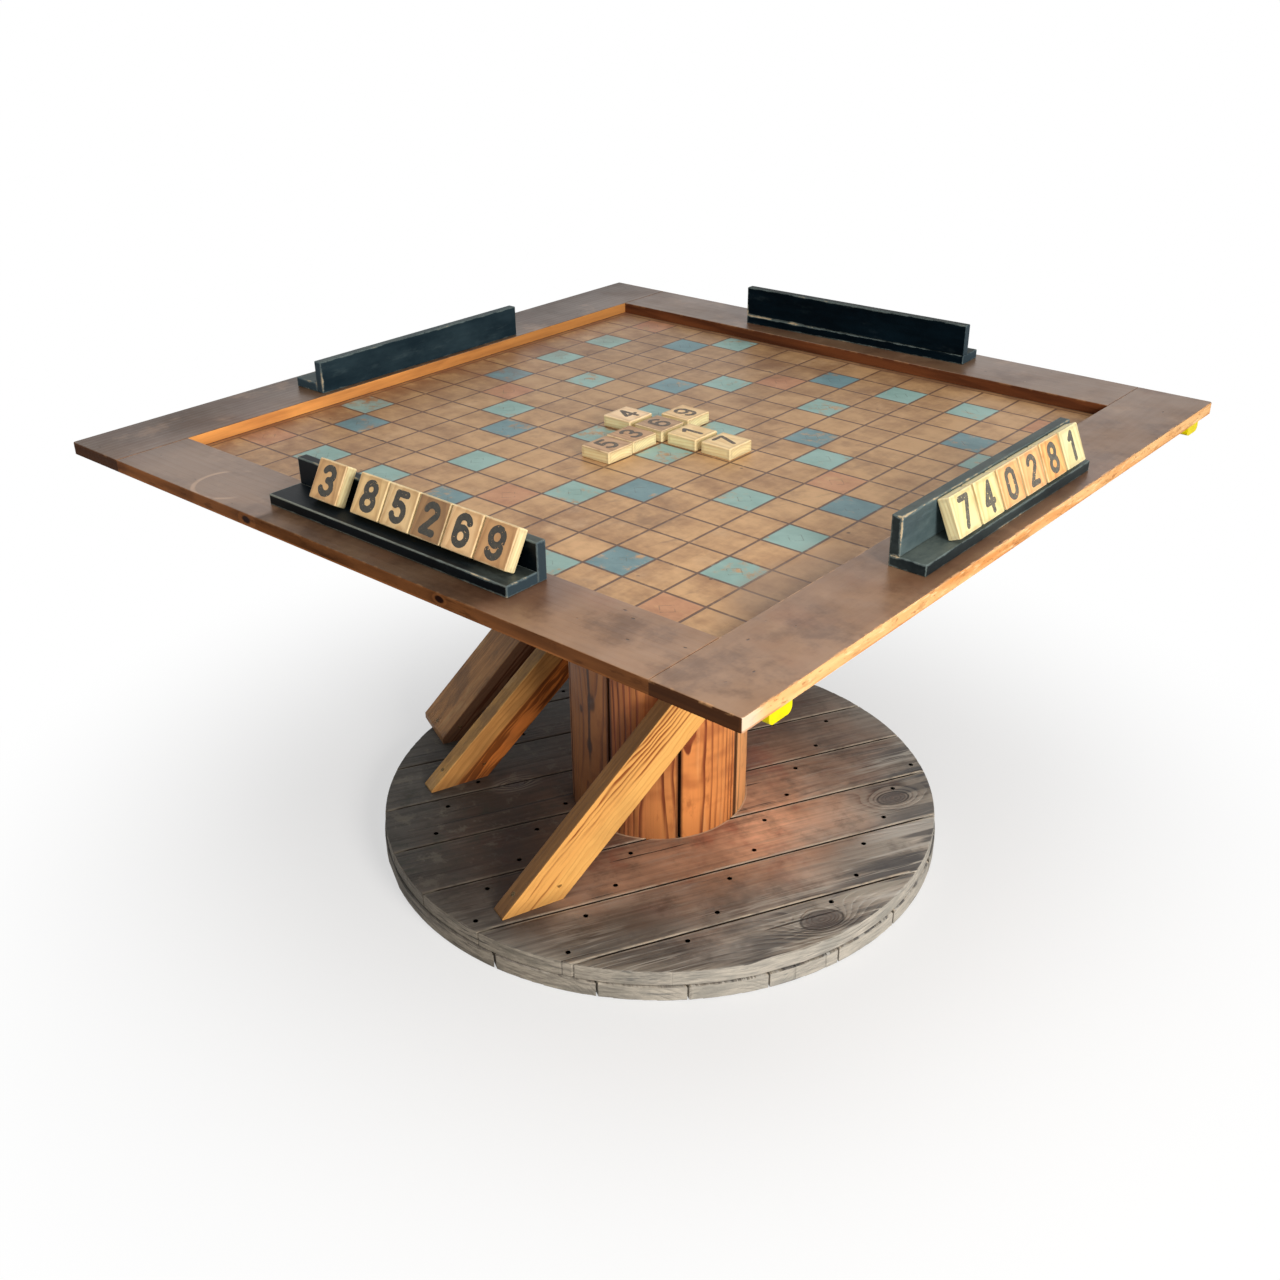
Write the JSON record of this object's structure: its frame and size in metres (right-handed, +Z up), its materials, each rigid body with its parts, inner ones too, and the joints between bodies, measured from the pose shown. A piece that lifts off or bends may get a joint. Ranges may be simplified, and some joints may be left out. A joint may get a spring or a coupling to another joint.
{
  "type": "rotating word game board",
  "caption": "Square framed word game board with gridded playing surface, tile racks and loose tiles, turning on a ball ring atop a wooden cable reel with raking braces.",
  "frame": {"origin": "on the ground under the middle of the square top, on the axis that the top turns about", "axes": "+Z up along the turning axis, +Y towards the rear edge of the top and +X towards its right edge, with the top at rest square to both"},
  "size_m": [1.22, 1.22, 0.7858],
  "materials": {
    "aged_wood": "matte",
    "ball_steel": "polished",
    "batten_wood": "matte",
    "board_wood": "satin",
    "cage_brass": "satin",
    "cap_yellow": "gloss",
    "nail_iron": "dull",
    "pine": "satin",
    "rack_black": "painted satin",
    "reel_wood": "weathered",
    "ring_steel": "satin",
    "rod_steel": "satin",
    "screw_steel": "satin",
    "stained_wood": "satin",
    "stave_wood": "satin",
    "tile_wood": "satin"
  },
  "bodies": {
    "base": {"lower_flange_bottom_planks": "reel_wood", "lower_flange_top_planks": "reel_wood", "upper_flange_bottom_planks": "reel_wood", "upper_flange_top_planks": "reel_wood", "flange_nails": "nail_iron", "drum_staves": "stave_wood", "tie_rods": "rod_steel", "tie_rod_nuts": "rod_steel", "tie_rod_washers": "rod_steel", "front_brace": "pine", "middle_brace": "pine", "left_brace": "aged_wood", "brace_screws": "screw_steel", "fixed_ring": "ring_steel", "fixed_ring_screws": "screw_steel"},
    "ball_race": {"ball_cage": "cage_brass", "turntable_balls": "ball_steel"},
    "top": {"turning_ring": "ring_steel", "turning_ring_screws": "screw_steel", "game_panel": "board_wood", "front_border": "stained_wood", "right_border": "stained_wood", "rear_border": "stained_wood", "left_border": "stained_wood", "border_screws": "screw_steel", "front_batten": "batten_wood", "rear_batten": "batten_wood", "batten_screws": "screw_steel", "front_left_cap": "cap_yellow", "front_right_cap": "cap_yellow", "rear_left_cap": "cap_yellow", "rear_right_cap": "cap_yellow"},
    "front_rack": {"front_rack_shelf": "rack_black", "front_rack_back": "rack_black"},
    "right_rack": {"right_rack_shelf": "rack_black", "right_rack_back": "rack_black"},
    "rear_rack": {"rear_rack_shelf": "rack_black", "rear_rack_back": "rack_black"},
    "left_rack": {"left_rack_shelf": "rack_black", "left_rack_back": "rack_black"},
    "centre_tile_1_body": {"centre_tile_1": "tile_wood"},
    "centre_tile_2_body": {"centre_tile_2": "tile_wood"},
    "centre_tile_3_body": {"centre_tile_3": "tile_wood"},
    "centre_tile_4_body": {"centre_tile_4": "tile_wood"},
    "centre_tile_5_body": {"centre_tile_5": "tile_wood"},
    "centre_tile_6_body": {"centre_tile_6": "tile_wood"},
    "centre_tile_7_body": {"centre_tile_7": "tile_wood"},
    "front_tile_1_body": {"front_tile_1": "tile_wood"},
    "front_tile_2_body": {"front_tile_2": "tile_wood"},
    "front_tile_3_body": {"front_tile_3": "tile_wood"},
    "front_tile_4_body": {"front_tile_4": "tile_wood"},
    "front_tile_5_body": {"front_tile_5": "tile_wood"},
    "front_tile_6_body": {"front_tile_6": "tile_wood"},
    "right_tile_1_body": {"right_tile_1": "tile_wood"},
    "right_tile_2_body": {"right_tile_2": "tile_wood"},
    "right_tile_3_body": {"right_tile_3": "tile_wood"},
    "right_tile_4_body": {"right_tile_4": "tile_wood"},
    "right_tile_5_body": {"right_tile_5": "tile_wood"},
    "right_tile_6_body": {"right_tile_6": "tile_wood"}
  },
  "joints": [
    {"name": "turntable", "type": "hinge", "parent": "base", "child": "top", "pos_m": [0, 0, 0.678], "axis": [0, 0, 1], "continuous": true},
    {"name": "ball_race_spin", "type": "hinge", "parent": "base", "child": "ball_race", "pos_m": [0, 0, 0.678], "axis": [0, 0, 1], "continuous": true},
    {"name": "front_rack_lift", "type": "slide", "parent": "top", "child": "front_rack", "axis": [0, 0, 1], "range_m": [0, 0.15]},
    {"name": "right_rack_lift", "type": "slide", "parent": "top", "child": "right_rack", "axis": [0, 0, 1], "range_m": [0, 0.15]},
    {"name": "rear_rack_lift", "type": "slide", "parent": "top", "child": "rear_rack", "axis": [0, 0, 1], "range_m": [0, 0.15]},
    {"name": "left_rack_lift", "type": "slide", "parent": "top", "child": "left_rack", "axis": [0, 0, 1], "range_m": [0, 0.15]},
    {"name": "centre_tile_1_lift", "type": "slide", "parent": "top", "child": "centre_tile_1_body", "axis": [0, 0, 1], "range_m": [0, 0.12]},
    {"name": "centre_tile_2_lift", "type": "slide", "parent": "top", "child": "centre_tile_2_body", "axis": [0, 0, 1], "range_m": [0, 0.12]},
    {"name": "centre_tile_3_lift", "type": "slide", "parent": "top", "child": "centre_tile_3_body", "axis": [0, 0, 1], "range_m": [0, 0.12]},
    {"name": "centre_tile_4_lift", "type": "slide", "parent": "top", "child": "centre_tile_4_body", "axis": [0, 0, 1], "range_m": [0, 0.12]},
    {"name": "centre_tile_5_lift", "type": "slide", "parent": "top", "child": "centre_tile_5_body", "axis": [0, 0, 1], "range_m": [0, 0.12]},
    {"name": "centre_tile_6_lift", "type": "slide", "parent": "top", "child": "centre_tile_6_body", "axis": [0, 0, 1], "range_m": [0, 0.12]},
    {"name": "centre_tile_7_lift", "type": "slide", "parent": "top", "child": "centre_tile_7_body", "axis": [0, 0, 1], "range_m": [0, 0.12]},
    {"name": "front_tile_1_lift", "type": "slide", "parent": "front_rack", "child": "front_tile_1_body", "axis": [0, 0, 1], "range_m": [0, 0.12]},
    {"name": "front_tile_2_lift", "type": "slide", "parent": "front_rack", "child": "front_tile_2_body", "axis": [0, 0, 1], "range_m": [0, 0.12]},
    {"name": "front_tile_3_lift", "type": "slide", "parent": "front_rack", "child": "front_tile_3_body", "axis": [0, 0, 1], "range_m": [0, 0.12]},
    {"name": "front_tile_4_lift", "type": "slide", "parent": "front_rack", "child": "front_tile_4_body", "axis": [0, 0, 1], "range_m": [0, 0.12]},
    {"name": "front_tile_5_lift", "type": "slide", "parent": "front_rack", "child": "front_tile_5_body", "axis": [0, 0, 1], "range_m": [0, 0.12]},
    {"name": "front_tile_6_lift", "type": "slide", "parent": "front_rack", "child": "front_tile_6_body", "axis": [0, 0, 1], "range_m": [0, 0.12]},
    {"name": "right_tile_1_lift", "type": "slide", "parent": "right_rack", "child": "right_tile_1_body", "axis": [0, 0, 1], "range_m": [0, 0.12]},
    {"name": "right_tile_2_lift", "type": "slide", "parent": "right_rack", "child": "right_tile_2_body", "axis": [0, 0, 1], "range_m": [0, 0.12]},
    {"name": "right_tile_3_lift", "type": "slide", "parent": "right_rack", "child": "right_tile_3_body", "axis": [0, 0, 1], "range_m": [0, 0.12]},
    {"name": "right_tile_4_lift", "type": "slide", "parent": "right_rack", "child": "right_tile_4_body", "axis": [0, 0, 1], "range_m": [0, 0.12]},
    {"name": "right_tile_5_lift", "type": "slide", "parent": "right_rack", "child": "right_tile_5_body", "axis": [0, 0, 1], "range_m": [0, 0.12]},
    {"name": "right_tile_6_lift", "type": "slide", "parent": "right_rack", "child": "right_tile_6_body", "axis": [0, 0, 1], "range_m": [0, 0.12]}
  ],
  "couplings": [
    {"joint": "ball_race_spin", "follows": "turntable", "ratio": 0.51}
  ]
}
